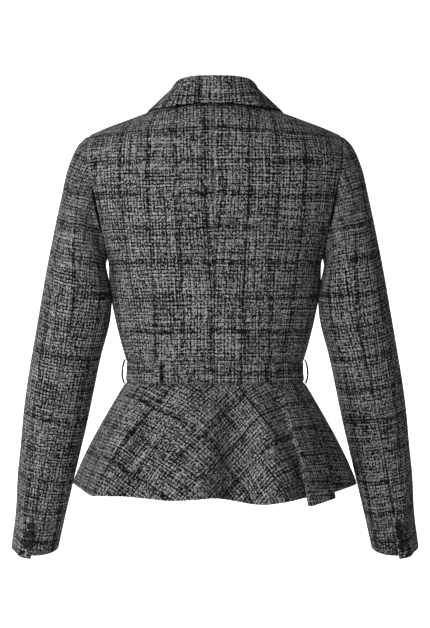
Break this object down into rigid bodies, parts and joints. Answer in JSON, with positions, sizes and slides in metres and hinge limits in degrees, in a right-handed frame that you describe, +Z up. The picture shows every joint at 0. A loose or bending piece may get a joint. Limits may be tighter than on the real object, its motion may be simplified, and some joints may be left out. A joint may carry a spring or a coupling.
{
  "type": "peplum jacket",
  "caption": "Waisted tweed jacket with notched collar, set-in sleeves, inset waistband with empty belt loops and a flared peplum, standing in the hollow form of its wearer.",
  "frame": {"origin": "midway between the neck points of the two shoulder seams, where the wearer's shoulders hold the jacket", "axes": "+Z up, the wearer faces -Y, +X towards the wearer's left"},
  "size_m": [0.628, 0.3271, 0.7229],
  "materials": {
    "tweed": "black and off-white slubbed wool tweed with a faint dark windowpane, matt",
    "button": "black, slightly glossy"
  },
  "bodies": {
    "root": {"back_left": "tweed", "back_right": "tweed", "front_left": "tweed", "front_right": "tweed", "lapel_left": "tweed", "lapel_right": "tweed", "collar": "tweed", "waistband_back_left": "tweed", "waistband_back_right": "tweed", "waistband_front_left": "tweed", "waistband_front_right": "tweed", "peplum_back": "tweed", "peplum_front_left": "tweed", "peplum_front_right": "tweed", "upper_sleeve_left": "tweed", "under_sleeve_left": "tweed", "upper_sleeve_right": "tweed", "under_sleeve_right": "tweed", "belt_loop_side_left": "tweed", "belt_loop_side_right": "tweed", "belt_loop_back_left": "tweed", "belt_loop_back_right": "tweed", "front_button_1": "button", "front_button_2": "button", "front_button_3": "button", "front_button_4": "button", "cuff_button_left_1": "button", "cuff_button_left_2": "button", "cuff_button_left_3": "button", "cuff_button_right_1": "button", "cuff_button_right_2": "button", "cuff_button_right_3": "button"}
  },
  "joints": []
}
